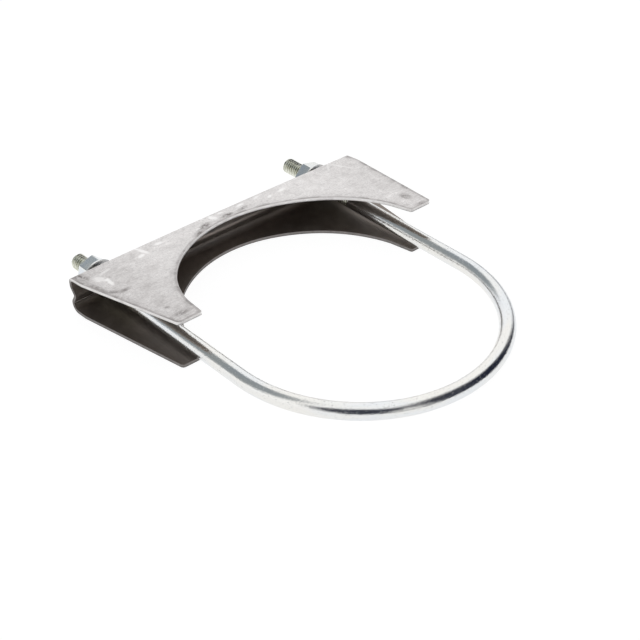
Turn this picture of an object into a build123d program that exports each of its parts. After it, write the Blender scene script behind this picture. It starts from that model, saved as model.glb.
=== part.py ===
from build123d import *

import math
import os

# A U-bolt clamp for round pipe, lying on its side: a bent, threaded rod, a pressed channel saddle
# and two flange nuts. Millimetres.
# The origin is the middle of the rod's bend, on the pipe's axis. +Z runs along the pipe, +Y from
# the bend along the legs to their threaded ends, and +X from the left leg to the right leg.

# U-bolt: 5/16 inch rod bent for a 5 inch pipe
pipe_diameter = 127.0
rod_diameter = 7.94
left_leg_length = 123.3
right_leg_length = 126.0
end_chamfer = 0.9

# Saddle: pressed from sheet, with a fluted web and two splayed flanges
sheet = 1.5
web_half_length = 86.2
square_end = 10.0
channel_half_height = 8.9
flange_splay = 2.35
saddle_depth = 71.6
bridge = 10.8
horn_outer = 77.0
horn_tip_radius = 1.8
upper_corner_radius = 2.4
lower_corner_radius = 4.4
flute_depth = 2.7
flute_half_width = 4.0
flute_radius = 1.6
leg_hole_diameter = 10.0
nut_seat_radius = 7.4
nut_seat_lift = 0.5

# How the loose saddle hangs on the legs, tipped by the slack in its holes
web_position = 101.0
saddle_mid_height = 0.62
saddle_tip = 3.8

# Flange nuts for a 5/16 inch thread, 9/16 inch across flats
nut_across_flats = 14.3
nut_height = 7.4
nut_flange_diameter = 17.6
nut_rim_height = 0.9
nut_cone_height = 0.6
nut_corner_chamfer = 0.5
nut_running_gap = 0.05

# Each nut's leg, the place of its bearing face along the leg, and how far it is turned
nut_places = {"left_flange_nut": (-1, 104.6, 41.0), "right_flange_nut": (1, 103.8, 14.0)}

rod_radius = rod_diameter / 2
pipe_radius = pipe_diameter / 2
leg_x = pipe_radius + rod_radius


def u_bolt():
    """Rod carried down one leg, round the half circle and back up the other leg."""
    left_leg = Line((-leg_x, left_leg_length), (-leg_x, 0))
    bend = CenterArc((0, 0), leg_x, 180, 180)
    right_leg = Line((leg_x, 0), (leg_x, right_leg_length))
    section = Plane((-leg_x, left_leg_length, 0), z_dir=(0, -1, 0)) * Circle(rod_radius)
    rod = sweep(section, path=Wire([left_leg, bend, right_leg]))
    shorter_leg = min(left_leg_length, right_leg_length)
    rims = rod.edges().filter_by(GeomType.CIRCLE).filter_by_position(Axis.Y, shorter_leg - 1, math.inf)
    return chamfer(rims, end_chamfer)


def channel():
    """Sheet folded round its middle line: upper flange, fluted web and lower flange, straight along X."""
    middle = sheet / 2
    reach = saddle_depth + sheet
    corner_z = channel_half_height - middle
    tip_z = corner_z + reach * math.tan(math.radians(flange_splay))
    points = [
        (reach, tip_z),
        (middle, corner_z),
        (middle, flute_half_width),
        (middle + flute_depth, 0),
        (middle, -flute_half_width),
        (middle, -corner_z),
        (reach, -tip_z),
    ]
    flute_radii = [flute_radius] * 3
    radii = [upper_corner_radius - middle, *flute_radii, lower_corner_radius - middle]
    section = trace(FilletPolyline(*points, radius=radii), sheet)
    return extrude(Plane.YZ * section, web_half_length, both=True)


def plan_outline():
    """Flange's shape seen along the pipe: two horns round a half-round pipe seat."""
    blank = Polygon(
        (-web_half_length, -sheet),
        (web_half_length, -sheet),
        (web_half_length, square_end),
        (horn_outer, saddle_depth),
        (-horn_outer, saddle_depth),
        (-web_half_length, square_end),
        align=None,
    )
    outline = blank - Pos(0, bridge + pipe_radius) * Circle(pipe_radius)
    tips = outline.vertices().filter_by_position(Axis.Y, saddle_depth - 0.1, saddle_depth + 0.1)
    return fillet(tips, horn_tip_radius)


def saddle():
    """Channel cut to its plan outline, with a flat seat and a hole for each leg, then set on the legs."""
    height = 4 * channel_half_height
    body = channel() & extrude(plan_outline(), height, both=True)
    for side in (-1, 1):
        seat_middle = (side * leg_x, sheet / 2 - nut_seat_lift, 0)
        body += Pos(*seat_middle) * Rot(X=90) * Cylinder(nut_seat_radius, sheet)
        body -= Pos(side * leg_x, 0, 0) * Rot(X=90) * Cylinder(leg_hole_diameter / 2, height)
    return Pos(0, web_position, saddle_mid_height) * Rot(X=-saddle_tip) * mirror(body, about=Plane.XZ)


def flange_nut(side, bearing_face, turned):
    """Hexagon on a coned flange, with a round bore that runs on the leg."""
    rim = Cylinder(nut_flange_diameter / 2, nut_rim_height, align=(Align.CENTER, Align.CENTER, Align.MIN))
    cone = Pos(0, 0, nut_rim_height) * Cone(
        nut_flange_diameter / 2,
        nut_across_flats / 2,
        nut_cone_height,
        align=(Align.CENTER, Align.CENTER, Align.MIN),
    )
    hexagon = extrude(RegularPolygon(nut_across_flats / 2, 6, major_radius=False), nut_height)
    corner_radius_top = nut_across_flats / math.sqrt(3) - nut_corner_chamfer
    rounding = Cone(
        corner_radius_top + nut_height,
        corner_radius_top,
        nut_height,
        align=(Align.CENTER, Align.CENTER, Align.MIN),
    )
    nut = rim + cone + (hexagon & rounding)
    nut -= Cylinder(rod_radius + nut_running_gap, 4 * nut_height)
    on_leg = Plane((side * leg_x, bearing_face, 0), x_dir=(1, 0, 0), z_dir=(0, 1, 0))
    return on_leg * Rot(Z=turned) * nut


pieces = {"u_bolt": u_bolt(), "saddle": saddle()}
for name, place in nut_places.items():
    pieces[name] = flange_nut(*place)

os.makedirs("parts", exist_ok=True)
for name, piece in pieces.items():
    export_step(piece, f"parts/{name}.step")
    print(name, "volume", round(piece.volume), "solids", len(piece.solids()))
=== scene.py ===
# %% [markdown]
# # A U-bolt pipe clamp, made around its CAD frame
# The clamp is four pieces: a bent rod with a thread on both legs, a saddle pressed from sheet steel and
# two flange nuts. The CAD model says where each piece is and how it moves. Here each one is made again
# with the detail that CAD leaves out: the helical threads, the sheared edges and the worn finishes.

import math

import bmesh
import bpy
import numpy as np
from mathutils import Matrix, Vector


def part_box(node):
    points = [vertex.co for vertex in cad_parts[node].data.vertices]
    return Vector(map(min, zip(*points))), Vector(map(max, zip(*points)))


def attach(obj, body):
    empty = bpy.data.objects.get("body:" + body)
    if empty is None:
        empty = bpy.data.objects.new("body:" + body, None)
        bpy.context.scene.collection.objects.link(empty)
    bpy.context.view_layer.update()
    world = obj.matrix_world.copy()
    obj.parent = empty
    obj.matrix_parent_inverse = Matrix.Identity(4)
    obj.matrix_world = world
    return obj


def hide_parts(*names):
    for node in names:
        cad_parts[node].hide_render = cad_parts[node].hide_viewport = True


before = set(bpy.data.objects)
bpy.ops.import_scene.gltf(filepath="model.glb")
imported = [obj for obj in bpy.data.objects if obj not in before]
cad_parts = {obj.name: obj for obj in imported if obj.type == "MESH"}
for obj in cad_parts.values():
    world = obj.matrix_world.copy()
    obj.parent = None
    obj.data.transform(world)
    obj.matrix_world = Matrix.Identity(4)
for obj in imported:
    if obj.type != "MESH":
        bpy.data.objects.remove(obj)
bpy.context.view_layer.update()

# %% [markdown]
# ## Driving sizes
# The frame gives the sizes that it can: a leg's radius is half the bolt's height, and a leg stands that
# far inside the bolt's side. The rest are the sizes of the drawing, in millimetres, because shapes of
# this kind are easier to think of in millimetres. They become metres where a mesh is made.

# %% Sizes from the frame
METRES = 0.001


def box_in_mm(node):
    """A CAD node's lowest and highest corner, in millimetres."""
    low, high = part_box(node)
    return np.array(low) / METRES, np.array(high) / METRES


bolt_low, bolt_high = box_in_mm("u_bolt")
rod_radius = (bolt_high[2] - bolt_low[2]) / 2
leg_x = bolt_high[0] - rod_radius
pipe_radius = leg_x - rod_radius
leg_lengths = {"left": 123.3, "right": bolt_high[1]}
half_length = box_in_mm("saddle")[1][0]
print(f"rod radius {rod_radius:.2f}, legs at {leg_x:.2f}, pipe radius {pipe_radius:.2f} mm")

# %% [markdown]
# ## From arrays to meshes
# Every new piece is a grid of points worked out by numpy. One function numbers the quads between
# neighbouring points, and another puts points and quads into a mesh. Points that meet, as along a seam
# or at a pole, are merged there, so that each piece is one closed skin that faces outwards.

# %% Grid and mesh helpers


def grid_quads(rows, columns):
    """Quads between neighbouring rows and columns of points that are numbered row by row."""
    row, column = np.meshgrid(np.arange(rows - 1), np.arange(columns - 1), indexing="ij")
    first = row * columns + column
    quads = np.stack([first, first + 1, first + columns + 1, first + columns], axis=-1)
    return quads.reshape(-1, 4)


def join_grids(grids):
    """The points of several grids as one list, and the quads between them."""
    points = np.concatenate([grid.reshape(-1, 3) for grid in grids])
    starts = np.cumsum([0] + [grid.shape[0] * grid.shape[1] for grid in grids])
    quads = np.concatenate([grid_quads(*grid.shape[:2]) + start for grid, start in zip(grids, starts)])
    return points, quads


def make_piece(name, points, faces, attributes):
    """A mesh object from points in millimetres, quads, and one value or vector for each point."""
    mesh = bpy.data.meshes.new(name)
    mesh.from_pydata((points * METRES).tolist(), [], faces.tolist())
    for key, values in attributes.items():
        kind, field = ("FLOAT", "value") if values.ndim == 1 else ("FLOAT_VECTOR", "vector")
        layer = mesh.attributes.new(key, kind, "POINT")
        layer.data.foreach_set(field, values.astype(np.float32).ravel())
    piece = bpy.data.objects.new(name, mesh)
    bpy.context.scene.collection.objects.link(piece)
    close_skin(mesh)
    return piece


def close_skin(mesh, gap=1e-7):
    """Merges the points that meet and turns every face outwards."""
    skin = bmesh.new()
    skin.from_mesh(mesh)
    bmesh.ops.remove_doubles(skin, verts=skin.verts, dist=gap)
    bmesh.ops.dissolve_degenerate(skin, edges=skin.edges, dist=gap)
    bmesh.ops.recalc_face_normals(skin, faces=skin.faces)
    for face in skin.faces:
        face.smooth = True
    skin.to_mesh(mesh)
    open_edges = sum(1 for edge in skin.edges if len(edge.link_faces) != 2)
    print(mesh.name, "faces", len(skin.faces), "open edges", open_edges, "volume", skin.calc_volume() * 1e9)
    skin.free()


def smoothstep(low, high, values):
    """0 below low, 1 above high, and a smooth S between them."""
    share = np.clip((np.asarray(values, float) - low) / (high - low), 0, 1)
    return share * share * (3 - 2 * share)


def ripples(places, size, seed, waves=7):
    """A smooth random height from -1 to 1 over places: a sum of sine waves of random direction and phase."""
    draw = np.random.default_rng(seed)
    places = np.atleast_2d(places)
    directions = draw.normal(size=(waves, places.shape[-1]))
    directions /= np.linalg.norm(directions, axis=1, keepdims=True)
    pace = 2 * np.pi / size * draw.uniform(0.6, 1.7, size=waves)
    phase = draw.uniform(0, 2 * np.pi, size=waves)
    return np.sin(places @ (directions * pace[:, None]).T + phase).mean(axis=-1) * 1.6


# %% [markdown]
# ## The bent rod
# A real U-bolt is cut from drawn rod, its ends are threaded by rolling, and it is bent last. The shape
# is a circle carried along a path of leg, half circle and leg. The grid's rows lean as a screw does:
# after one turn round the rod, a row has moved on to where the row twelve places later began. So a row
# follows the thread exactly, and the crests come out crisp with few points.

# %% Thread profile and rod path
pitch = 25.4 / 18
thread_depth = 0.61 * pitch
threaded_length = 49.0
run_out = 1.8
crest_gap = 0.03
end_chamfer = 0.9
end_rings = 6
end_dish = 0.12
end_thread_look = 0.5
end_groove_look = 0.6
columns_round = 60
cuts_in_pitch = np.array([0, 0.05, 0.085, 0.2, 0.33, 0.40, 0.5, 0.6, 0.67, 0.8, 0.915, 0.95])
rows_in_turn = len(cuts_in_pitch)
plain_step = 1.6
bend_length = math.pi * leg_x
rod_length = leg_lengths["left"] + bend_length + leg_lengths["right"]


def rod_rows():
    """Places along the rod where rows start: twelve to a pitch on the thread, and further apart between."""
    fine_length = threaded_length + run_out + 2 * pitch
    turns = np.arange(-1, math.ceil(fine_length / pitch) + 1)
    near = ((turns[:, None] + cuts_in_pitch) * pitch).ravel()
    far_start = rod_length - near.max()
    plain = np.linspace(near.max(), far_start, round((far_start - near.max()) / plain_step))[1:-1]
    far_turns = np.arange(0, math.ceil(fine_length / pitch) + 3)
    far = far_start + ((far_turns[:, None] + cuts_in_pitch) * pitch).ravel()
    return np.concatenate([near, plain, far]), far_start


def thread_share(along, turn, far_start):
    """How deep the groove is, from 0 on a crest to 1 in a root, and how much thread there is at all."""
    start = np.where(along < rod_length / 2, 0.0, far_start)
    phase = (along - start) / pitch - turn
    from_crest = np.abs(phase - np.round(phase))
    from_end = np.minimum(along, rod_length - along)
    present = 1 - smoothstep(threaded_length, threaded_length + run_out, from_end)
    return smoothstep(0.03, 0.42, from_crest), present


def rod_points(along, turn, radius):
    """Places on the rod: a leg, the half circle and the other leg, and a circle of the radius round it."""
    past_leg = along - leg_lengths["left"]
    angle = math.pi + np.clip(past_leg, 0, bend_length) / leg_x
    beyond = np.maximum(-past_leg, 0) + np.maximum(past_leg - bend_length, 0)
    sideways = leg_x + radius * np.cos(2 * np.pi * turn)
    x = sideways * np.cos(angle)
    y = sideways * np.sin(angle) + beyond
    z = -radius * np.sin(2 * np.pi * turn)
    return np.stack(np.broadcast_arrays(x, y, z), axis=-1)


def unbent_points(along, turn, radius):
    """The same places on the rod before it was bent: a circle of the radius, and the length along it."""
    angle = 2 * np.pi * turn
    return np.stack(np.broadcast_arrays(radius * np.cos(angle), radius * np.sin(angle), along), axis=-1)


# %% Build the rod


def spread(values, grids):
    """One value for each point of several grids, from an array or a number for each grid."""
    spreads = [np.broadcast_to(value, grid.shape[:2]).ravel() for value, grid in zip(values, grids)]
    return np.concatenate(spreads)


def build_rod():
    """The rod's skin: a leaning grid along it, and a slightly dished disc of rings on each end."""
    starts, far_start = rod_rows()
    turn = np.linspace(0, 1, columns_round + 1)[None, :]
    rise = starts[rows_in_turn:] - starts[:-rows_in_turn]
    along = np.clip(starts[:-rows_in_turn, None] + rise[:, None] * turn, 0, rod_length)
    groove, present = thread_share(along, turn, far_start)
    from_end = np.minimum(along, rod_length - along)
    radius = rod_radius - crest_gap - thread_depth * groove * present
    radius = np.minimum(radius, rod_radius - end_chamfer + from_end)
    ring = (rod_radius - end_chamfer) * np.linspace(1, 0, end_rings)[:, None]
    sunk = end_dish * np.cos(np.pi / 2 * ring / ring.max())
    places = [(along, turn, radius), (sunk, turn, ring), (rod_length - sunk, turn, ring)]
    grids = [rod_points(*place) for place in places]
    points, quads = join_grids(grids)
    attributes = {
        "unbent": join_grids([unbent_points(*place) for place in places])[0] * METRES,
        "thread": spread([present, end_thread_look, end_thread_look], grids),
        "groove": spread([groove * present, end_groove_look, end_groove_look], grids),
    }
    return make_piece("bent_rod", points, quads, attributes)


bent_rod = build_rod()

# %% [markdown]
# ## The pressed saddle
# The saddle is one piece of sheet steel, cut to its outline and folded into a channel, with a flute
# pressed into its web to stiffen it. The shape is the sheet's middle surface, a grid that runs from one
# free edge over the upper flange, the web and the lower flange to the other free edge. Two copies of it,
# half a thickness apart on each side, are joined round the border by a rounded rim.

# %% Saddle sizes and section
sheet = 1.5
rim_bulge = 0.25
web_position = 101.0
saddle_mid_height = 0.62
saddle_tip = math.radians(3.8)
channel_half_height = 8.9
flange_slope = math.tan(math.radians(2.35))
saddle_depth = 71.6
bridge = 10.8
horn_outer = 77.0
horn_tip_radius = 1.8
square_end = 10.0
flute_depth = 2.7
flute_half_width = 4.0
upper_corner_radius = 2.4
lower_corner_radius = 4.4
flute_radius = 1.6


def rounded_path(corners, radii, steps=8):
    """A line through corners whose inner corners are arcs of the given radii."""
    path = [corners[:1]]
    for before, corner, after, radius in zip(corners, corners[1:], corners[2:], radii):
        back = (before - corner) / np.linalg.norm(before - corner)
        ahead = (after - corner) / np.linalg.norm(after - corner)
        half = math.acos(np.clip(back @ ahead, -1, 1)) / 2
        middle = corner + (back + ahead) / np.linalg.norm(back + ahead) * radius / math.sin(half)
        start = corner + back * radius / math.tan(half)
        end = corner + ahead * radius / math.tan(half)
        turn = np.linspace(0, 1, steps + 1)[:, None]
        chord = start * (1 - turn) + end * turn - middle
        path.append(middle + chord / np.linalg.norm(chord, axis=1, keepdims=True) * radius)
    path.append(corners[-1:])
    return np.concatenate(path)


def even_steps(path, step):
    """The same line with points about one step apart."""
    length = np.concatenate([[0], np.cumsum(np.linalg.norm(np.diff(path, axis=0), axis=1))])
    places = np.linspace(0, length[-1], round(length[-1] / step) + 1)
    return np.stack([np.interp(places, length, path[:, k]) for k in range(path.shape[1])], axis=-1)


def filled(path, longest):
    """The same line with more points where two of them are further apart than the longest step."""
    pieces = []
    for before, after in zip(path, path[1:]):
        steps = math.ceil(math.dist(before, after) / longest)
        share = np.linspace(0, 1, steps, endpoint=False)[:, None]
        pieces.append(before + (after - before) * share)
    return np.concatenate([*pieces, path[-1:]])


middle = sheet / 2
corner_height = channel_half_height - middle
tip_height = corner_height + saddle_depth * flange_slope
section_corners = np.array(
    [
        (saddle_depth, tip_height),
        (middle, corner_height),
        (middle, flute_half_width),
        (middle + flute_depth, 0),
        (middle, -flute_half_width),
        (middle, -corner_height),
        (saddle_depth, -tip_height),
    ]
)
flute_radii = [flute_radius] * 3
section_radii = [upper_corner_radius - middle, *flute_radii, lower_corner_radius - middle]
web_step = 0.45
web_line = even_steps(rounded_path(section_corners, section_radii)[1:-1], web_step)
print("web line:", len(web_line), "points, folds end at", web_line[0].round(2), web_line[-1].round(2))

# %% Outline of the flanges, seen along the pipe
seat_columns = 121
seat_trim = 8
outline_start = 5.0
outline_step = 2.2
edge_bend_radius = 6.0
seat_corner_radius = 1.0
horn_columns_reach = 58.0


def flange_outline():
    """The free edge from the fold's left end over the left horn, and along the pipe seat."""
    end = half_length - rim_bulge
    tip = saddle_depth - rim_bulge
    seat_radius = pipe_radius + rim_bulge
    seat_middle = bridge + pipe_radius
    lean = math.asin((seat_middle - tip) / seat_radius)
    swing = np.linspace(-math.pi / 2 + lean, math.pi / 2 - lean, seat_columns)
    seat = np.stack([seat_radius * np.sin(swing), seat_middle - seat_radius * np.cos(swing)], axis=-1)
    outer = horn_outer - rim_bulge
    corners = np.array([(-end, outline_start), (-end, square_end), (-outer, tip), seat[0], seat[seat_trim]])
    radii = [edge_bend_radius, horn_tip_radius, seat_corner_radius]
    left = filled(rounded_path(corners, radii, steps=7), outline_step)[:-1]
    return left, seat[seat_trim:-seat_trim]


def fold_places(left, seat):
    """Where the columns start on the fold: close together under the horns and evenly along the seat."""
    horn_share = np.linspace(0, 1, len(left), endpoint=False)
    end = half_length - rim_bulge
    left_start = -end + horn_share * (end - horn_columns_reach)
    middle_start = np.linspace(-horn_columns_reach, horn_columns_reach, len(seat))
    return np.concatenate([left_start, middle_start, -left_start[::-1]])


# %% Middle surface of the sheet
flange_rows = 26
leg_seat_inner = 5.6
leg_seat_outer = 8.6
leg_seat_lift = 0.5
web_bow = 1.1
bow_reach = 22.0
pressed_zone = (4.5, 6.5)


def saddle_middle():
    """The middle surface as a grid of (across, forward, up) places, with the sheet's normal at each."""
    grids = []
    left, seat = flange_outline()
    edge = np.concatenate([left, seat, left[::-1] * [-1, 1]])
    across = fold_places(left, seat)
    share = np.linspace(1, 0, flange_rows)[:, None]
    for fold, upright in ((web_line[0], 1), (web_line[-1], -1)):
        x = across * (1 - share) + edge[:, 0] * share
        forward = fold[0] * (1 - share) + edge[:, 1] * share
        up = fold[1] + upright * (forward - fold[0]) * flange_slope
        grids.append(np.stack([x, forward, up], axis=-1))
    top, bottom = grids
    web_rows = web_line[1:-1, None, :]
    web = np.stack(np.broadcast_arrays(across, web_rows[..., 0], web_rows[..., 1]), axis=-1)
    surface = np.concatenate([top, web, bottom[::-1]])
    slope = np.gradient(web_line, axis=0)
    web_normal = np.stack([-slope[:, 1], slope[:, 0]], axis=-1)[1:-1]
    web_normal /= np.linalg.norm(web_normal, axis=1, keepdims=True)
    flange_normal = np.array([-flange_slope, 1.0]) / math.hypot(flange_slope, 1)
    web_normal *= np.sign(web_normal[0] @ flange_normal)
    upper_normals = np.tile(flange_normal, (flange_rows, 1))
    row_normals = np.concatenate([upper_normals, web_normal, upper_normals * [1, -1]])
    normals = np.zeros_like(surface)
    normals[..., 1:] = row_normals[:, None, :]
    return surface, normals


def press_and_bow(points):
    """Flattens the web round each leg's hole and bows the whole web a little outwards in the middle."""
    x, forward, up = np.moveaxis(points, -1, 0)
    near_web = 1 - smoothstep(*pressed_zone, forward)
    for side in (-1, 1):
        from_hole = np.hypot(x - side * leg_x, up)
        flat = (1 - smoothstep(leg_seat_inner, leg_seat_outer, from_hole)) * near_web
        forward = forward * (1 - flat) + (middle - leg_seat_lift) * flat
    bow = web_bow * (1 - (x / half_length) ** 2) * (1 - smoothstep(0, bow_reach, forward))
    return np.stack([x, forward - bow, up], axis=-1)


def on_legs(points):
    """Turns (across, forward, up) places of the saddle to where it hangs on the legs."""
    x, forward, up = np.moveaxis(points, -1, 0)
    y = web_position - forward * math.cos(saddle_tip) + up * math.sin(saddle_tip)
    z = saddle_mid_height + forward * math.sin(saddle_tip) + up * math.cos(saddle_tip)
    return np.stack([x, y, z], axis=-1)


def surface_normals(surface, fallback):
    """Unit normals from the grid's own slopes, or the drawing's where a row shrinks to a point."""
    across = np.gradient(surface, axis=1)
    down = np.gradient(surface, axis=0)
    normals = np.cross(across, down)
    length = np.linalg.norm(normals, axis=-1, keepdims=True)
    agree = np.sign((normals * fallback).sum(axis=-1, keepdims=True))
    usable = length > 1e-3
    return np.where(usable, normals * agree / np.where(usable, length, 1), fallback)


# %% Two skins and a rounded rim
rim_reach = 0.9 * rim_bulge
tear_size = 7.0
tear_height = 0.06
smoothing_span = 3


def border(grid):
    """The grid's border as one loop: along the first row, down the last column and back."""
    return np.concatenate([grid[0], grid[1:, -1], grid[-1, -2::-1], grid[-2:0:-1, 0]])


def rim_points(edge, normal, steps=7):
    """A rim that bulges outwards from the border: half of a squared-off circle across the thickness."""
    ahead = np.roll(edge, -smoothing_span, axis=0) - np.roll(edge, smoothing_span, axis=0)
    outward = np.cross(ahead, normal)
    length = np.linalg.norm(outward, axis=1, keepdims=True)
    outward = outward / np.where(length > 1e-6, length, 1)
    angle = np.linspace(0, np.pi, steps)[:, None, None]
    across = np.sign(np.cos(angle)) * np.abs(np.cos(angle)) ** 0.45
    bulge = np.sin(angle) ** 0.55
    tear = np.sin(angle) ** 2 * ripples(edge, tear_size, seed=5)[:, None] * tear_height
    return edge + normal * across * middle + outward * (bulge * rim_reach + tear)


def build_saddle():
    """The saddle's closed skin, and the points of the sheet's sheared edge."""
    surface, drawn_normals = saddle_middle()
    surface = press_and_bow(surface)
    normals = surface_normals(surface, drawn_normals)
    edge = border(surface)
    rim = rim_points(edge, border(normals))
    rim = np.concatenate([rim, rim[:, :1]], axis=1)
    points, quads = join_grids([surface + normals * middle, surface - normals * middle, rim])
    return make_piece("pressed_saddle", on_legs(points), quads, {}), on_legs(edge)


pressed_saddle, saddle_edge = build_saddle()

# %% [markdown]
# The holes for the legs are punched after the folding, so they are cut the same way here: a plain
# cylinder for each leg is taken out of the finished sheet, and the cutters are thrown away.

# %% Punch the holes
leg_hole_diameter = 10.0
punch_reach = 14.0
fold_angle = math.radians(50)


def drum(name, radius, start, end, x, columns=64):
    """A closed cylinder along Y."""
    turn = np.linspace(0, 2 * np.pi, columns + 1)
    radii = np.array([0, radius, radius, 0])[:, None]
    y = np.array([start, start, end, end])[:, None]
    grid = np.stack(np.broadcast_arrays(x + radii * np.cos(turn), y, radii * np.sin(turn)), axis=-1)
    return make_piece(name, grid.reshape(-1, 3), grid_quads(*grid.shape[:2]), {})


def cut_out(piece, cutter):
    """Takes the cutter's space out of the piece."""
    modifier = piece.modifiers.new("cut", "BOOLEAN")
    modifier.operation = "DIFFERENCE"
    modifier.solver = "EXACT"
    modifier.object = cutter
    bpy.context.view_layer.update()
    uncut = piece.data
    cut = bpy.data.meshes.new_from_object(piece.evaluated_get(bpy.context.evaluated_depsgraph_get()))
    piece.modifiers.clear()
    piece.data = cut
    bpy.data.meshes.remove(uncut)
    bpy.data.objects.remove(cutter)
    cut.name = piece.name
    close_skin(cut)


for side in (-1, 1):
    punch_ends = (web_position - punch_reach, web_position + punch_reach)
    cut_out(pressed_saddle, drum("punch", leg_hole_diameter / 2, *punch_ends, side * leg_x))
pressed_saddle.data.set_sharp_from_angle(angle=fold_angle)

# %% [markdown]
# Smudges, painted shade and the rim's painted highlight and shade follow the edges, and the inner side
# is painted dark as shade. So each point of the finished saddle gets two numbers: how far the nearest
# sheared edge is, and whether it looks into the channel.

# %% Mark edges and the inner side
channel_centre = web_position - 20
web_front = web_position - 5


def points_of(mesh):
    """A mesh's points in millimetres."""
    flat = np.empty(len(mesh.vertices) * 3, np.float32)
    mesh.vertices.foreach_get("co", flat)
    return flat.reshape(-1, 3).astype(float) / METRES


def normals_of(mesh):
    """A mesh's point normals."""
    flat = np.empty(len(mesh.vertices) * 3, np.float32)
    mesh.vertex_normals.foreach_get("vector", flat)
    return flat.reshape(-1, 3).astype(float)


def nearest(points, targets, block=4000):
    """The distance from each point to the nearest target."""
    parts = np.array_split(points, max(1, len(points) // block))
    squares = [((part[:, None, :] - targets[None, :, :]) ** 2).sum(axis=-1).min(axis=1) for part in parts]
    return np.sqrt(np.concatenate(squares))


def add_values(mesh, key, values):
    """A float attribute with one value for each point."""
    layer = mesh.attributes.new(key, "FLOAT", "POINT")
    layer.data.foreach_set("value", values.astype(np.float32))


def mark_saddle(mesh):
    """Distance from the edges in millimetres, and 1 on the faces that look into the channel."""
    points = points_of(mesh)
    normals = normals_of(mesh)
    y, z = points[:, 1], points[:, 2]
    inward = np.zeros_like(points)
    inward[:, 1] = np.where(y > web_front, channel_centre - y, 0)
    inward[:, 2] = saddle_mid_height - z
    inner = smoothstep(-0.5, 0.5, (normals * inward).sum(axis=1))
    add_values(mesh, "edge_distance", nearest(points, saddle_edge))
    add_values(mesh, "inner_side", inner)
    print("inner side share", inner.mean().round(3))


mark_saddle(pressed_saddle.data)

# %% [markdown]
# ## The flange nuts
# A flange nut is a hexagon forged in one with its washer. Its outside is worked out as a radius for each
# height and angle: the hexagon's flat is its apothem divided by the cosine of the angle from the flat's
# middle, and the chamfer cuts the corners at a height that depends on that radius, which gives the
# curved scallops of a real nut.

# %% Nut sizes and shape
nut_across_flats = 14.3
nut_height = 7.4
nut_flange_radius = 17.6 / 2
nut_rim_height = 0.9
nut_cone_height = 0.6
nut_corner_chamfer = 0.45
nut_corner_round = 0.07
nut_chamfer_slope = math.tan(math.radians(32))
nut_bore_chamfer = 0.45
nut_running_gap = 0.05
nut_fold_angle = math.radians(24)
nut_rim_rings = slice(3, 8)
nut_side_rings = slice(10, 14)
nut_rim_highlight = 0.6
nut_places = {"left_nut": (-1, 104.6, -11.0), "right_nut": (1, 103.8, 16.0)}
nut_columns = 144


def angle_from_flat(angle):
    """The angle from the middle of the nearest of the six flats, from -30 to 30 degrees."""
    return (angle + np.pi / 6) % (np.pi / 3) - np.pi / 6


def nut_grid():
    """Rings of (radius, height) at each angle, from the bore's mouth round the outside and back.

    The small numbers in the list of rings are the roundings of the edges, in millimetres.
    """
    angle = np.linspace(0, 2 * np.pi, nut_columns + 1)
    apothem = nut_across_flats / 2
    corner = apothem / math.cos(math.pi / 6)
    hexagon = np.minimum(apothem / np.cos(angle_from_flat(angle)), corner - nut_corner_round)
    top_radius = corner - nut_corner_chamfer
    scallop = nut_height - np.maximum(hexagon - top_radius, 0) * nut_chamfer_slope
    cone_slope = nut_cone_height / (nut_flange_radius - apothem)
    foot = nut_rim_height + (nut_flange_radius - 0.25 - hexagon) * cone_slope
    bore = rod_radius + nut_running_gap
    full = np.ones_like(angle)
    rings = [
        (bore * full, nut_bore_chamfer * full),
        ((bore + nut_bore_chamfer) * full, 0 * full),
        ((nut_flange_radius - 0.5) * full, 0 * full),
        ((nut_flange_radius - 0.15) * full, 0.1 * full),
        (nut_flange_radius * full, 0.35 * full),
        (nut_flange_radius * full, (nut_rim_height - 0.35) * full),
        ((nut_flange_radius - 0.08) * full, (nut_rim_height - 0.1) * full),
        ((nut_flange_radius - 0.35) * full, (nut_rim_height + 0.05) * full),
        (hexagon + 0.3, foot - 0.1),
        (hexagon + 0.08, foot + 0.02),
        (hexagon, foot + 0.14),
        (hexagon, (foot + scallop) / 2),
        (hexagon, scallop - 0.08),
        (hexagon - 0.06, scallop + 0.02),
        (np.minimum(top_radius, hexagon - 0.1), (nut_height - 0.02) * full),
        ((bore + 1.2) * full, nut_height * full),
        ((bore + 0.55) * full, nut_height * full),
        (bore * full, (nut_height - 0.5) * full),
        (bore * full, nut_bore_chamfer * full),
    ]
    radius = np.array([ring[0] for ring in rings])
    height = np.array([ring[1] for ring in rings])
    return radius, height, np.broadcast_to(angle, radius.shape)


def build_nut(name, side, bearing_face, turned):
    """One nut on its leg, facing the free end, with its corners and rim marked from 0 to 1 for a painted
    highlight.
    """
    radius, height, angle = nut_grid()
    around = angle + math.radians(turned)
    x = side * leg_x + radius * np.cos(around)
    grid = np.stack([x, bearing_face + height, radius * np.sin(around)], axis=-1)
    near_corner = smoothstep(math.radians(26), math.radians(30), np.abs(angle_from_flat(angle)))
    # Painted highlight: the hex corners and the flange's rim are marked to be painted brighter.
    painted_highlight = np.zeros(radius.shape)
    painted_highlight[nut_side_rings] = near_corner[nut_side_rings]
    painted_highlight[nut_rim_rings] = nut_rim_highlight
    piece = make_piece(name, grid.reshape(-1, 3), grid_quads(*radius.shape), {"corner": painted_highlight.ravel()})
    piece.data.set_sharp_from_angle(angle=nut_fold_angle)
    return piece


nuts = {name: build_nut(name, *place) for name, place in nut_places.items()}

# %% [markdown]
# ## Maths on sockets
# A finish is a sum of small effects, and a sum reads best as one. This class wraps an output socket, so
# that `1 - mask * 0.5` adds the Math nodes that work it out.

# %% A wire with arithmetic


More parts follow.
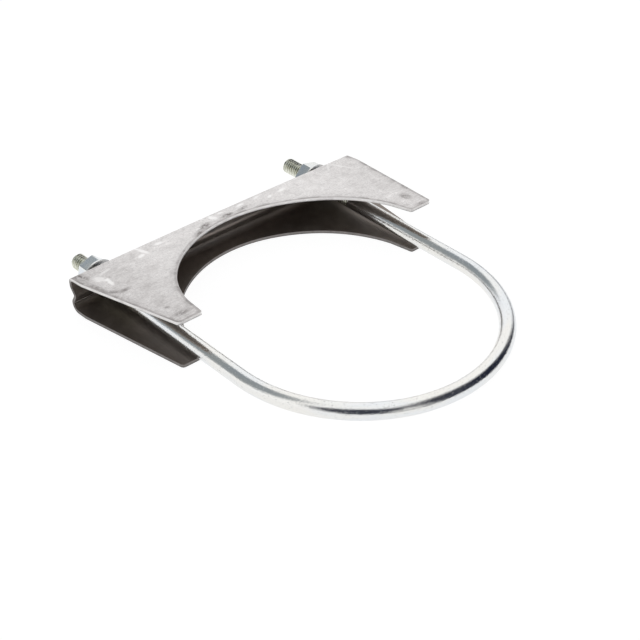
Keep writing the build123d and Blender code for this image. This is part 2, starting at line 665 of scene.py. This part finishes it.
class Wire:
    """An output socket that can be used in sums."""

    def __init__(self, finish, socket):
        self.finish = finish
        self.socket = socket

    def math(self, operation, *values, clamp=False):
        """A Math node's result."""
        settings = {"operation": operation, "use_clamp": clamp}
        return self.finish.add("ShaderNodeMath", settings, dict(enumerate(values)))

    def __add__(self, other):
        return self.math("ADD", self, other)

    def __radd__(self, other):
        return self.math("ADD", other, self)

    def __sub__(self, other):
        return self.math("SUBTRACT", self, other)

    def __rsub__(self, other):
        return self.math("SUBTRACT", other, self)

    def __mul__(self, other):
        return self.math("MULTIPLY", self, other)

    def __rmul__(self, other):
        return self.math("MULTIPLY", other, self)

    def step(self, low, high):
        """0 below low, 1 above high, smooth between. Low may be the larger one."""
        inputs = {"Value": self, "From Min": low, "From Max": high}
        return self.finish.add("ShaderNodeMapRange", {"interpolation_type": "SMOOTHSTEP"}, inputs)

    def clamped(self):
        """The value kept between 0 and 1."""
        return self.math("ADD", self, 0.0, clamp=True)

    def absolute(self):
        """The value without its sign."""
        return self.math("ABSOLUTE", self)

    def line(self, width):
        """A thin line, 1 where a noise crosses its middle value."""
        return (self - 0.5).absolute().step(width, width * 0.3)


# %% A finish and its nodes


class Finish:
    """A material's node tree, or a tree that is given, and the methods that add nodes to it."""

    def __init__(self, name, tree=None):
        if tree is None:
            self.material = bpy.data.materials.new(name)
            self.material.use_nodes = True
            tree = self.material.node_tree
        self.tree = tree

    def feed(self, socket, value):
        """Links a wire to the socket, or sets the socket's own value."""
        if isinstance(value, Wire):
            self.tree.links.new(value.socket, socket)
        else:
            socket.default_value = value

    def add(self, kind, settings=None, inputs=None, output=0):
        """Adds a node: its settings first, then the values or wires of its sockets."""
        node = self.tree.nodes.new(kind)
        for key, value in (settings or {}).items():
            setattr(node, key, value)
        for key, value in (inputs or {}).items():
            self.feed(node.inputs[key], value)
        return Wire(self, node.outputs[output])

    def attribute(self, key, output="Fac"):
        """A value that the mesh carries at its points."""
        return self.add("ShaderNodeAttribute", {"attribute_name": key}, output=output)

    def place(self, scale=(1, 1, 1), turn=(0, 0, 0), source=None):
        """Object coordinates in millimetres, stretched and turned."""
        start = source or self.add("ShaderNodeTexCoord", output="Object")
        inputs = {"Vector": start, "Scale": [1000 * s for s in scale], "Rotation": turn}
        return self.add("ShaderNodeMapping", None, inputs)

    def noise(self, where, scale, detail=3.0, roughness=0.55, distortion=0.0):
        """Cloudy noise around 0.5. The scale is in waves per millimetre."""
        inputs = {
            "Vector": where,
            "Scale": scale,
            "Detail": detail,
            "Roughness": roughness,
            "Distortion": distortion,
        }
        return self.add("ShaderNodeTexNoise", None, inputs)

    def mix(self, share, first, second):
        """A colour between two colours."""
        colours = [c if isinstance(c, Wire) else (*c, 1) for c in (first, second)]
        inputs = {0: share, 6: colours[0], 7: colours[1]}
        return self.add("ShaderNodeMix", {"data_type": "RGBA"}, inputs, output=2)


def smooth_shader(finish, colour, roughness, height, strength, **constants):
    """Feeds the shader: what varies is linked, and what is the same all over is set."""
    shader = finish.tree.nodes["Principled BSDF"]
    finish.feed(shader.inputs["Base Color"], colour)
    finish.feed(shader.inputs["Roughness"], roughness)
    bump = finish.add("ShaderNodeBump", None, {"Height": height, "Strength": strength, "Distance": 0.0001})
    finish.feed(shader.inputs["Normal"], bump)
    for key, value in constants.items():
        shader.inputs[key.replace("_", " ")].default_value = value
    return finish.material


# %% [markdown]
# ## Raw sheet steel
# The saddle is left as it comes off the press: a grey, mottled skin with rolling marks, thin scratches
# and dark specks of scale. The sheared rim is painted light: bright as a highlight on the upper flange
# and dark as shade on the lower one. Inside the channel the sheet is painted dark as shade. The largest
# rubs and stains on the upper flange are listed: each has its place, half sizes, turn in degrees and
# strength.

# %% Rubs and stains on the upper flange
mark_height = 12.0
bright_rubs = [
    ((-77.5, 89.0), (2.4, 4.0), 20, 0.7),
    ((-75.5, 83.5), (1.1, 4.4), -8, 0.9),
    ((-71.5, 93.0), (4.0, 1.0), 14, 0.6),
    ((-48.4, 96.2), (1.2, 4.8), 10, 1.0),
    ((-51.5, 92.6), (2.4, 1.2), 30, 1.0),
    ((-38.4, 96.4), (2.1, 1.2), 0, 1.0),
    ((-5.0, 97.8), (1.7, 3.0), 15, 1.0),
    ((0.5, 99.0), (2.0, 0.9), 0, 0.8),
    ((12.6, 98.3), (2.6, 1.0), 10, 1.0),
    ((22.9, 98.6), (2.2, 0.9), 10, 0.9),
    ((28.5, 94.4), (1.8, 0.9), 40, 0.9),
    ((36.9, 95.4), (2.8, 1.1), 15, 1.0),
    ((75.0, 92.2), (0.7, 8.3), 19, 0.5),
    ((69.6, 96.7), (0.6, 4.4), -37, 0.5),
]
dark_stains = [
    ((-12.8, 93.8), (4.6, 2.2), 20, 1.0),
    ((1.7, 94.5), (4.2, 1.9), 0, 1.0),
    ((-19.0, 90.0), (4.2, 1.7), 40, 0.9),
    ((11.0, 94.6), (3.6, 1.4), 5, 0.7),
    ((-80.0, 74.2), (1.5, 2.6), 40, 1.0),
    ((-75.6, 72.0), (3.2, 1.4), 10, 0.8),
    ((-72.0, 45.0), (1.6, 1.3), 0, 0.9),
    ((-70.5, 36.5), (5.0, 2.4), 0, 1.0),
    ((-82.5, 97.0), (2.8, 6.0), 10, 1.0),
    ((-83.0, 84.0), (1.6, 8.0), 6, 0.7),
    ((72.0, 43.0), (2.8, 4.2), -10, 0.9),
    ((71.5, 32.0), (3.6, 2.0), 0, 0.8),
]


def marks(finish, where, ragged, places):
    """Ragged ovals on the upper flange, given by their places, half sizes, turns and strengths."""
    total = 0.0
    for (x, y), (wide, long), turn, strength in places:
        inputs = {
            "Vector": where,
            "Location": (x, y, mark_height),
            "Rotation": (0, 0, math.radians(turn)),
            "Scale": (wide, long, mark_height),
        }
        oval = finish.add("ShaderNodeMapping", {"vector_type": "TEXTURE"}, inputs)
        size = finish.add("ShaderNodeVectorMath", {"operation": "LENGTH"}, {0: oval}, output="Value")
        total = (size + 2.6 * (ragged - 0.5)).step(1.35, 0.45) * strength + total
    return total.clamped()


# %% Sheet finish
skin_dark = (0.44, 0.418, 0.412)
skin_bright = (0.95, 0.928, 0.918)
speck_colour = (0.24, 0.22, 0.215)
crack_colour = (0.25, 0.225, 0.22)
scratch_colour = (0.95, 0.94, 0.935)
stain_colour = (0.16, 0.14, 0.135)
rub_colour = (0.98, 0.97, 0.965)
edge_shade_and_smudge_colour = (0.20, 0.18, 0.175)
# Painted shade: the inside of the channel is painted dark because little light reaches it.
inside_shade_dark = (0.22, 0.188, 0.168)
inside_shade_light = (0.38, 0.34, 0.307)
fold_highlight_colour = (0.97, 0.93, 0.90)
# Painted light on the sheared rim: near white as a highlight above, dark as shade below.
upper_rim_highlight_colours = (0.55, 0.53, 0.52), (0.97, 0.96, 0.95)
lower_rim_shade_colours = (0.10, 0.09, 0.085), (0.34, 0.32, 0.31)


def sheet_finish():
    """Raw sheet steel: the outside, the inside of the channel and the sheared rim, mixed by the marks."""
    finish = Finish("raw_sheet_steel")
    where = finish.place()
    height = finish.add("ShaderNodeSeparateXYZ", None, {0: where}, output="Z")
    left_share = finish.add("ShaderNodeSeparateXYZ", None, {0: where}, output="X").step(-45.0, -80.0)
    upper = height.step(6.5, 9.0)
    broad = finish.noise(where, 0.035, detail=4.0)
    cloud = finish.noise(where, 0.16, detail=6.0, roughness=0.62, distortion=0.4)
    grain = finish.noise(where, 1.1, detail=4.0, roughness=0.7)
    rolled = finish.noise(finish.place(scale=(0.05, 0.9, 0.9)), 1.0, detail=4.0)
    ragged = finish.noise(where, 0.55, detail=5.0, roughness=0.72)
    edge = finish.attribute("edge_distance")
    inner = finish.attribute("inner_side")

    # The outside skin, from its mottled tone to the edge, darkened by smudges and by painted shade where the
    # sheared edge rolls over.
    tone = 0.56 + 1.3 * (cloud - 0.5) + 1.25 * (grain - 0.5) + 0.5 * (broad - 0.5) + 0.3 * (rolled - 0.5)
    outside = finish.mix((tone + 0.02 - 0.19 * left_share).clamped(), skin_dark, skin_bright)
    specks = ragged.step(0.65, 0.73)
    outside = finish.mix(specks * 0.45, outside, speck_colour)
    wandering = finish.noise(where, 0.22, detail=5.0, roughness=0.65, distortion=1.2)
    crack = wandering.line(0.011) * cloud.step(0.50, 0.60)
    outside = finish.mix(crack * 0.5, outside, crack_colour)
    slanted_place = finish.place(scale=(0.10, 1.0, 1.0), turn=(0, 0, math.radians(-32)))
    level_place = finish.place(scale=(0.08, 1.0, 1.0), turn=(0, 0, math.radians(12)))
    slanted = finish.noise(slanted_place, 0.9, detail=1.0)
    level = finish.noise(level_place, 0.6, detail=1.0)
    patch = broad.step(0.47, 0.60)
    lines = (slanted.line(0.012) * patch + level.line(0.009) * (1 - patch)).clamped()
    outside = finish.mix(lines * 0.35, outside, scratch_colour)
    stain = marks(finish, where, ragged, dark_stains) * (0.25 + ragged.step(0.42, 0.60))
    outside = finish.mix((stain * 0.8).clamped(), outside, stain_colour)
    rubbed = marks(finish, where, ragged, bright_rubs)
    outside = finish.mix(rubbed * 0.62, outside, rub_colour)
    # Painted shade along every edge where the sheet rolls over, with patchy smudges mixed in.
    painted_rollover_shade = edge.step(2.0, 0.95) * (0.45 + 0.9 * (ragged - 0.4))
    smudged_edge = edge.step(5.0, 1.2) * cloud.step(0.46, 0.60)
    edge_shade_and_smudge = (painted_rollover_shade + 0.5 * smudged_edge).clamped() * 0.7
    outside = finish.mix(edge_shade_and_smudge, outside, edge_shade_and_smudge_colour)

    # The inside, painted dark as shade, with a painted highlight along the lower edge of the flute.
    inside_shade_tone = (0.5 + 1.1 * (cloud - 0.5) + 0.5 * (grain - 0.5)).clamped()
    inside = finish.mix(inside_shade_tone, inside_shade_dark, inside_shade_light)
    saddle_frame = {
        "Vector": where,
        "Location": (0, web_position, saddle_mid_height),
        "Rotation": (-saddle_tip, 0, 0),
    }
    untipped = finish.add("ShaderNodeMapping", {"vector_type": "TEXTURE"}, saddle_frame)
    web_height = finish.add("ShaderNodeSeparateXYZ", None, {0: untipped}, output="Z")
    # Painted highlight: a light line on the flute's lower fold, where a crisper fold catches the light.
    from_fold = web_height + flute_half_width + 0.25 + 0.5 * (cloud - 0.5)
    painted_fold_highlight = from_fold.absolute().step(0.5, 0.2) * left_share * inner
    inside = finish.mix(painted_fold_highlight * (0.5 + ragged), inside, fold_highlight_colour)
    colour = finish.mix(inner, outside, inside)

    # The sheared rim: painted highlight on the upper flange's rim and painted shade on the lower one's.
    sheared_tone = (0.35 + 1.6 * (cloud - 0.45) + 0.5 * (ragged - 0.5)).clamped()
    upper_rim = finish.mix(sheared_tone, *upper_rim_highlight_colours)
    lower_rim = finish.mix(ragged, *lower_rim_shade_colours)
    sheared = edge.step(0.82, 0.68)
    colour = finish.mix(sheared, colour, finish.mix(upper, lower_rim, upper_rim))
    roughness = 0.46 + 0.25 * (cloud - 0.5) + 0.2 * (grain - 0.5)
    roughness = roughness - 0.14 * rubbed + 0.06 * inner - 0.08 * sheared
    relief = cloud * 0.6 + grain * 0.7 + rolled * 0.3 - lines * 0.4 - crack * 0.5
    return smooth_shader(finish, colour, roughness, relief, 0.35, Metallic=1.0)


pressed_saddle.data.materials.append(sheet_finish())

# %% [markdown]
# ## Zinc plating
# The bolt and the nuts are zinc plated and dipped in a thin blue passivation. The plating is a bright
# metal whose colour drifts between blue, grey and straw yellow. It is dull in the thread's grooves, and
# fine drawing lines run along the rod, which the straightened coordinates of the rod make possible.

# %% Plated rod and plated nuts


def rod_finish():
    """Bright zinc with drawing lines and pits, and oily, yellower threads."""
    finish = Finish("bright_zinc_rod")
    straight = finish.attribute("unbent", "Vector")
    thread = finish.attribute("thread")
    groove = finish.attribute("groove")
    drawn = finish.noise(finish.place(scale=(1, 1, 0.02), source=straight), 1.6, detail=3.0)
    drift = finish.noise(finish.place(scale=(1, 1, 0.25), source=straight), 0.09, detail=2.0)
    spots = finish.noise(finish.place(source=straight), 0.7, detail=4.0, roughness=0.65)
    soft = finish.noise(finish.place(source=straight), 0.3, detail=2.0)
    grain = finish.noise(finish.place(scale=(1, 1, 0.4), source=straight), 2.2, detail=2.0, roughness=0.6)
    plating = finish.mix(drift.step(0.38, 0.62), (0.78, 0.80, 0.82), (0.83, 0.82, 0.79))
    pits = finish.noise(finish.place(source=straight), 1.6, detail=3.0, roughness=0.7).step(0.63, 0.70)
    plating = finish.mix(spots.step(0.60, 0.75) * 0.35, plating, (0.55, 0.57, 0.58))
    plating = finish.mix(pits * 0.65, plating, (0.25, 0.26, 0.27))
    oily = finish.mix(soft.step(0.3, 0.7), (0.20, 0.19, 0.12), (0.42, 0.43, 0.33))
    crest = finish.mix(soft.step(0.3, 0.6), (0.66, 0.67, 0.56), (0.90, 0.91, 0.84))
    threaded = finish.mix(groove, crest, oily)
    colour = finish.mix(thread, plating, threaded)
    roughness = 0.13 + 0.14 * (drawn - 0.5) + 0.16 * (spots - 0.4) + 0.10 * thread
    height = (drawn * 0.5 + spots * 0.9 + grain * 1.2 - pits * 1.0) * (1 - 0.85 * thread)
    return smooth_shader(finish, colour, roughness, height, 0.5, Metallic=1.0)


def nut_finish():
    """Blue zinc, with a painted highlight on the corners and the flange's rim."""
    finish = Finish("blue_zinc_nut")
    where = finish.place()
    corner = finish.attribute("corner")
    drift = finish.noise(where, 0.16, detail=3.0)
    grain = finish.noise(where, 1.8, detail=3.0)
    plating = finish.mix(drift.step(0.35, 0.65), (0.74, 0.78, 0.82), (0.82, 0.83, 0.81))
    plating = finish.mix(grain.step(0.6, 0.75) * 0.3, plating, (0.48, 0.50, 0.52))
    # Painted highlight: the marked corners and rim are painted near white.
    colour = finish.mix(corner * 0.7, plating, (0.92, 0.91, 0.88))
    roughness = 0.24 + 0.2 * (grain - 0.5) + 0.1 * (drift - 0.5)
    return smooth_shader(finish, colour, roughness, grain * 0.6 + drift * 0.4, 0.2, Metallic=1.0)


bent_rod.data.materials.append(rod_finish())
plated = nut_finish()
for nut in nuts.values():
    nut.data.materials.append(plated)

# %% [markdown]
# ## Ride and replace
# Each new piece stands for one CAD node and rides on that node's body, so it moves as the joints say.

# %% Fit the pieces to the frame
fittings = [
    (bent_rod, "bolt", "u_bolt", "plated_rod"),
    (pressed_saddle, "saddle", "saddle", "raw_sheet"),
    (nuts["left_nut"], "left_nut", "left_flange_nut", "plated_nut"),
    (nuts["right_nut"], "right_nut", "right_flange_nut", "plated_nut"),
]
for piece, body, node, slot in fittings:
    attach(piece, body)
    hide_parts(node)
    print(piece.name, "rides on", body)

# %% [markdown]
# ## Floor, light and camera
# The clamp lies on the lower flange's edge and on the bottom of the bend, so the floor is the plane that
# touches both. The studio is a white tent: the floor glows, and the world is white with a dark opening
# where the camera stands and dark parts of the room on the right, because a bright rod only looks bright
# beside something dark. A grey card behind the clamp shades what the saddle's upper flange mirrors.

# %% Floor
floor_touch = np.array([0.0, 80.4, -7.754])
floor_slope = 0.0253
floor_gap = 0.02
floor_half = 3000.0
paper_grey = 0.16
paper_glow = 0.93


def build_floor():
    """A square of glowing white paper under the clamp."""
    corner = np.array([[-1, -1], [1, -1], [1, 1], [-1, 1]]) * floor_half
    z = floor_touch[2] - floor_gap + (floor_touch[1] - corner[:, 1]) * floor_slope
    mesh = bpy.data.meshes.new("floor")
    mesh.from_pydata((np.column_stack([corner, z]) * METRES).tolist(), [], [(0, 1, 2, 3)])
    floor = bpy.data.objects.new("floor", mesh)
    bpy.context.scene.collection.objects.link(floor)
    paper = Finish("white_paper")
    shader = paper.tree.nodes["Principled BSDF"]
    shader.inputs["Base Color"].default_value = (paper_grey, paper_grey, paper_grey, 1)
    shader.inputs["Roughness"].default_value = 0.9
    shader.inputs["Specular IOR Level"].default_value = 0.0
    shader.inputs["Emission Color"].default_value = (1, 1, 1, 1)
    shader.inputs["Emission Strength"].default_value = paper_glow
    mesh.materials.append(paper.material)


build_floor()

# %% Camera
view_azimuth = math.radians(-41.85)
view_elevation = math.radians(35.44)
view_distance = 0.6721
view_target = Vector((-0.0130, 0.0107, -0.0010))
to_camera = Vector(
    (
        math.sin(view_azimuth) * math.cos(view_elevation),
        -math.cos(view_azimuth) * math.cos(view_elevation),
        math.sin(view_elevation),
    )
)
camera = bpy.data.objects.new("camera", bpy.data.cameras.new("camera"))
camera.data.lens = 83.84
camera.data.sensor_width = 36.0
camera.data.clip_start = 0.01
camera.location = view_target + to_camera * view_distance
camera.rotation_euler = (-to_camera).to_track_quat("-Z", "Y").to_euler()
bpy.context.scene.collection.objects.link(camera)
bpy.context.scene.camera = camera
print("camera", [round(v, 4) for v in camera.location])

# %% World
dark_room = (0.012, 0.015, 0.030)
grey_card = (0.16, 0.19, 0.21)
tent_strength = 1.08


def build_world():
    """The tent's light: white, with dark and grey patches given by direction."""
    world = bpy.data.worlds.new("light_tent")
    world.use_nodes = True
    bpy.context.scene.world = world
    tent = Finish("light_tent", world.node_tree)
    direction = tent.add("ShaderNodeTexCoord", output="Generated")

    def facing(x, y, z):
        """The cosine of the angle between the light's direction and a given one."""
        towards = Vector((x, y, z)).normalized()
        settings = {"operation": "DOT_PRODUCT"}
        return tent.add("ShaderNodeVectorMath", settings, {0: direction, 1: tuple(towards)}, output="Value")

    def patch(towards, core, reach):
        """1 within the core angle of a direction, fading to 0 at the reach, both in degrees."""
        return facing(*towards).step(math.cos(math.radians(reach)), math.cos(math.radians(core)))

    opening = patch(to_camera, 20, 36)
    room = patch((0.50, -0.66, 0.50), 21, 43)
    far_room = patch((0.86, -0.22, 0.36), 12, 28)
    level = facing(0, 0, 1)
    low = level.step(0.26, 0.10) * facing(0.62, -0.78, 0).step(-0.12, 0.12)
    dark = (0.97 * opening + 0.97 * room + 0.9 * far_room + 0.85 * low).clamped()
    colour = tent.mix(dark, (1.0, 1.0, 1.0), dark_room)
    card = patch((-0.38, 0.60, 0.66), 24, 39)
    colour = tent.mix(card * 0.86, colour, grey_card)
    background = world.node_tree.nodes["Background"]
    tent.feed(background.inputs["Color"], colour)
    background.inputs["Strength"].default_value = tent_strength


build_world()
bpy.context.scene.view_settings.view_transform = "Standard"
